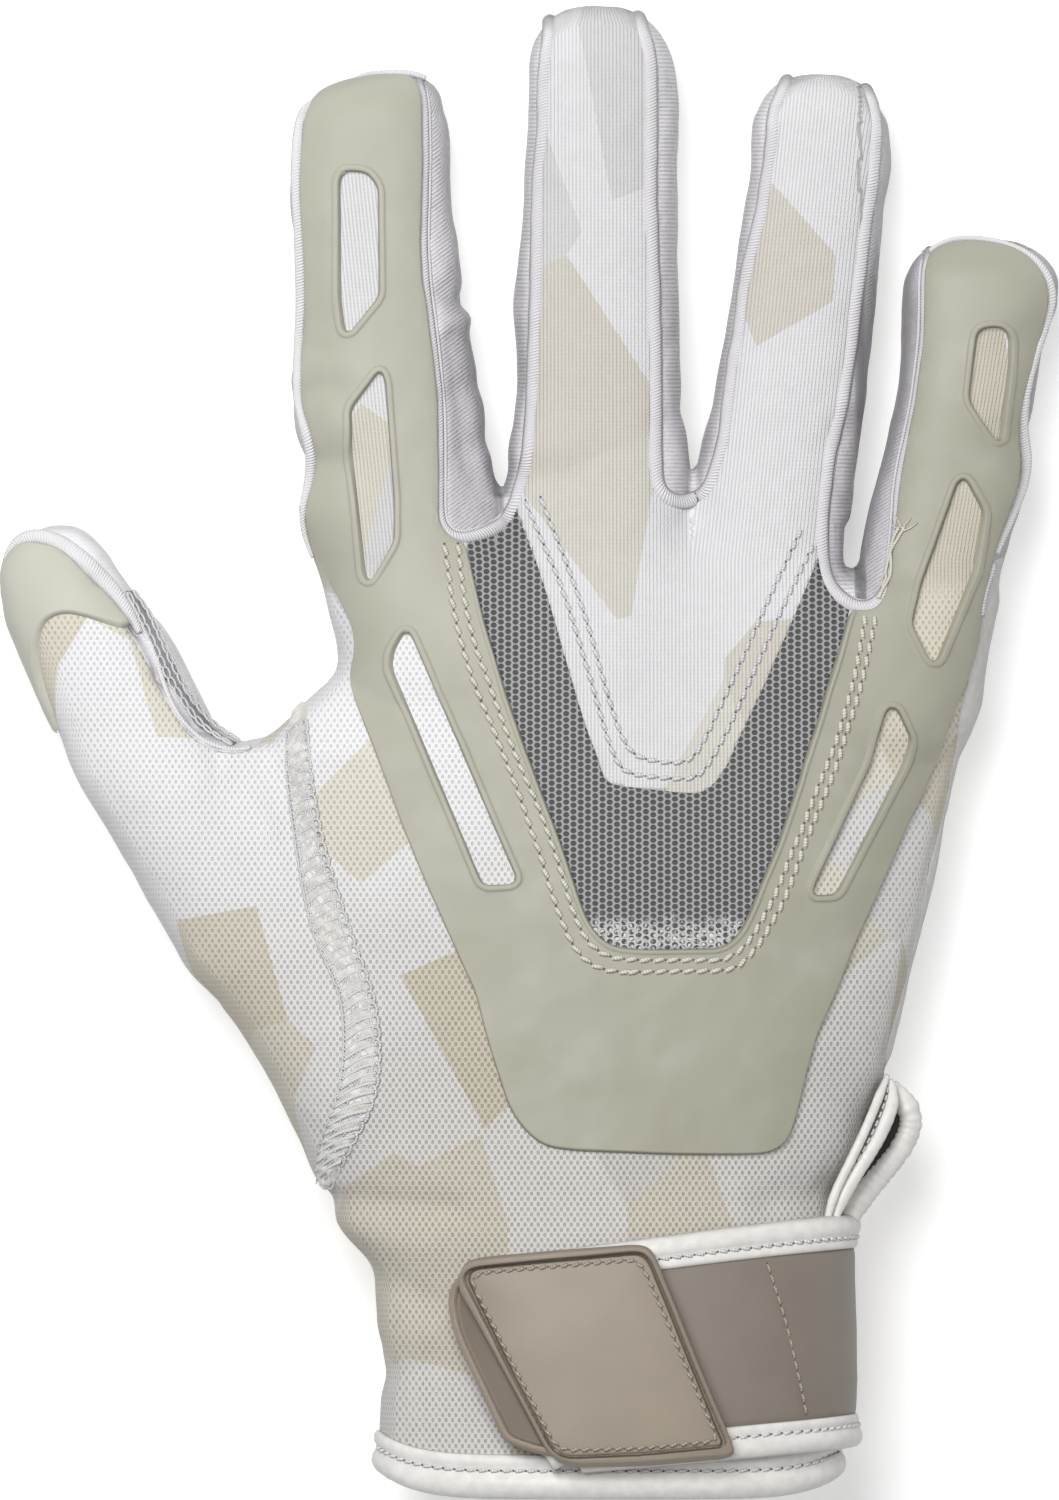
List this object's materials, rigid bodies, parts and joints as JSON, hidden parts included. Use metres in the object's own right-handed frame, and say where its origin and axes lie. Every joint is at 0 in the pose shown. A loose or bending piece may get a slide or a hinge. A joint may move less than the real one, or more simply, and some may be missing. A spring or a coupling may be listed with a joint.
{
  "type": "football receiver glove",
  "caption": "Right-hand football receiver glove with a knit back, moulded rubber knuckle overlay, open mesh panel, grip palm and a wrist strap with a moulded pull tab",
  "frame": {"origin": "on the palm's flat resting face, under the middle of the hand", "axes": "+Y runs from the wrist to the fingertips, +Z out of the back of the hand, -X towards the thumb"},
  "size_m": [0.1609, 0.226, 0.0461],
  "materials": {
    "palm_leather": "smooth off-white grip leather",
    "pattern_knit": "fine white knit with large beige shapes",
    "open_mesh": "grey honeycomb mesh over a dark ground",
    "stretch_satin": "pale satin stretch fabric",
    "overlay_rubber": "matte sage grey moulded rubber",
    "seam_thread": "off-white flat seam threads",
    "binding_leather": "smooth white leather binding",
    "strap_fabric": "taupe strap",
    "tab_rubber": "matte taupe moulded rubber"
  },
  "bodies": {
    "root": {"palm": "palm_leather", "back_panel": "pattern_knit", "knuckle_panel": "pattern_knit", "vent_mesh": "open_mesh", "thumb_wrap": "pattern_knit", "thumb_side_strip": "stretch_satin", "side_strip_index_outer": "stretch_satin", "side_strip_index_middle": "stretch_satin", "side_strip_middle_ring": "stretch_satin", "side_strip_ring_little": "stretch_satin", "side_strip_little_outer": "stretch_satin", "rubber_overlay": "overlay_rubber", "thumb_cap": "overlay_rubber", "seam_tape": "seam_thread", "hem_binding": "binding_leather", "vent_piping": "binding_leather", "strap": "strap_fabric", "strap_edging_lower": "binding_leather", "strap_edging_upper": "binding_leather", "pull_tab": "tab_rubber"}
  },
  "joints": []
}
